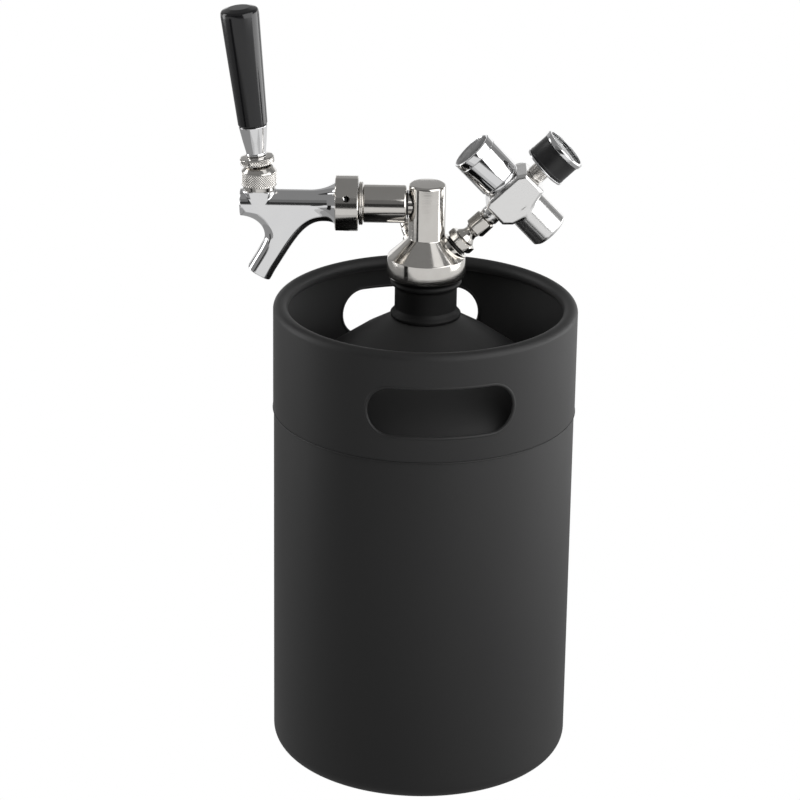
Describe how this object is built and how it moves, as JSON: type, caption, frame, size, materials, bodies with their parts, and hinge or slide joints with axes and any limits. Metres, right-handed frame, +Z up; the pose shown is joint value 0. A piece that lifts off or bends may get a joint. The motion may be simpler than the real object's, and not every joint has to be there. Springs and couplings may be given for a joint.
{
  "type": "mini beer keg with tap",
  "caption": "Black steel mini keg with a carry rim, a screw-in steel tap head, a lever faucet with a black handle, and a gas regulator with gauge.",
  "frame": {"origin": "on the keg's axis, in the plane it stands on; the pressed-in base panel lies 2 mm above it", "axes": "+Z up along the keg's axis, -X towards the faucet, +X towards the regulator, -Y towards the front slot"},
  "size_m": [0.2261, 0.1952, 0.5011],
  "materials": {
    "black_powder_coat": "fine-textured satin black powder coat",
    "turned_stainless": "turned, fine concentric lines",
    "polished_chrome": "polished",
    "satin_die_cast": "satin nickel over a die casting",
    "black_rubber": "smooth matte",
    "black_plastic": "moulded gloss",
    "white_seal": "natural fluoropolymer",
    "printed_dial": "matte printed",
    "gauge_lens": "clear"
  },
  "bodies": {
    "keg": {"keg_shell": "black_powder_coat", "shoulder_dome": "black_powder_coat", "neck_collar": "black_powder_coat", "handle_skirt": "black_powder_coat"},
    "head_gasket": {"head_gasket": "black_rubber"},
    "tap_head": {"tap_head_body": "turned_stainless", "dip_tube": "turned_stainless", "dip_tube_fitting": "turned_stainless", "dip_tube_o_ring": "white_seal", "shank": "turned_stainless", "shank_o_ring": "black_rubber", "shank_flange_ring": "turned_stainless", "faucet_washer": "black_rubber", "faucet_body": "polished_chrome", "ball_washer": "white_seal", "lever_friction_ring": "white_seal", "gas_inlet_seal": "black_rubber", "gas_inlet_hex": "turned_stainless", "gas_inlet_nipple": "turned_stainless", "check_valve_spring": "turned_stainless", "relief_body": "turned_stainless", "relief_spring": "turned_stainless"},
    "coupling_nut": {"faucet_coupling_nut": "turned_stainless"},
    "bonnet_nut": {"bonnet_nut": "turned_stainless"},
    "lever": {"lever": "turned_stainless", "lever_lock_nut": "turned_stainless", "handle_ferrule": "polished_chrome", "handle_stud": "turned_stainless", "tap_handle": "black_plastic"},
    "plunger": {"plunger_shaft": "turned_stainless", "shaft_seat_washer": "black_rubber", "shaft_nut": "turned_stainless"},
    "check_poppet": {"check_valve_poppet": "white_seal"},
    "relief_cap": {"relief_cap": "turned_stainless"},
    "regulator": {"inlet_tailpiece": "turned_stainless", "regulator_body": "satin_die_cast", "burst_disc_plug": "turned_stainless", "cartridge_seal": "black_rubber", "piercing_pin": "turned_stainless", "spring_bonnet": "polished_chrome", "diaphragm": "black_rubber", "adjust_spring": "turned_stainless", "gauge_stem": "turned_stainless", "gauge_back_plate": "polished_chrome", "gauge_case": "black_powder_coat", "bourdon_tube": "turned_stainless", "gauge_dial": "printed_dial", "gauge_lens": "gauge_lens", "gauge_bezel": "polished_chrome"},
    "swivel_nut": {"swivel_nut": "turned_stainless"},
    "spring_button": {"spring_button": "turned_stainless"},
    "adjust_knob": {"adjust_knob": "polished_chrome"},
    "gauge_needle": {"gauge_needle": "black_powder_coat"}
  },
  "joints": [
    {"name": "tap_lift", "type": "slide", "parent": "keg", "child": "head_gasket", "axis": [0, 0, 1], "range_m": [0, 0.33]},
    {"name": "tap_turn", "type": "hinge", "parent": "head_gasket", "child": "tap_head", "pos_m": [0, 0, 0.3298], "axis": [0, 0, 1], "continuous": true},
    {"name": "coupling_nut_turn", "type": "hinge", "parent": "tap_head", "child": "coupling_nut", "pos_m": [-0.0509, 0, 0.3744], "axis": [-1, 0, 0], "continuous": true},
    {"name": "bonnet_nut_turn", "type": "hinge", "parent": "tap_head", "child": "bonnet_nut", "pos_m": [-0.1064, 0, 0.391], "axis": [0, 0, 1], "continuous": true},
    {"name": "lever_pull", "type": "hinge", "parent": "tap_head", "child": "lever", "pos_m": [-0.1064, 0, 0.391], "axis": [0, -1, 0], "range_deg": [0, 22]},
    {"name": "plunger_slide", "type": "slide", "parent": "tap_head", "child": "plunger", "axis": [1, 0, 0], "range_m": [0, 0.006]},
    {"name": "check_valve_slide", "type": "slide", "parent": "tap_head", "child": "check_poppet", "axis": [-0.7193, 0, -0.6947], "range_m": [0, 0.0015], "stiffness_N_per_m": 40, "springref_m": -0.002, "deforming": ["check_valve_spring"]},
    {"name": "relief_lift", "type": "slide", "parent": "tap_head", "child": "relief_cap", "axis": [-0.3599, 0.6597, 0.6597], "range_m": [0, 0.002], "stiffness_N_per_m": 400, "springref_m": -0.003, "deforming": ["relief_spring"]},
    {"name": "regulator_swivel", "type": "hinge", "parent": "tap_head", "child": "regulator", "pos_m": [0.0547, 0, 0.3822], "axis": [0.7193, 0, 0.6947], "continuous": true},
    {"name": "swivel_nut_turn", "type": "hinge", "parent": "tap_head", "child": "swivel_nut", "pos_m": [0.03384, 0, 0.36206], "axis": [0.7193, 0, 0.6947], "continuous": true},
    {"name": "button_slide", "type": "slide", "parent": "regulator", "child": "spring_button", "axis": [-0.6946, -0.0175, 0.7192], "range_m": [0, 0.0025], "deforming": ["adjust_spring"]},
    {"name": "knob_turn", "type": "hinge", "parent": "spring_button", "child": "adjust_knob", "pos_m": [0.03664, -0.00045, 0.4009], "axis": [-0.6946, -0.0175, 0.7192], "range_deg": [0, 900]},
    {"name": "needle_turn", "type": "hinge", "parent": "regulator", "child": "gauge_needle", "pos_m": [0.08333, 0, 0.40985], "axis": [-0.7193, 0, -0.6947], "range_deg": [0, 270]}
  ],
  "couplings": [
    {"joint": "plunger_slide", "follows": "lever_pull", "m_per_rad": 0.0148},
    {"joint": "button_slide", "follows": "knob_turn", "m_per_rad": 0.00015915}
  ]
}
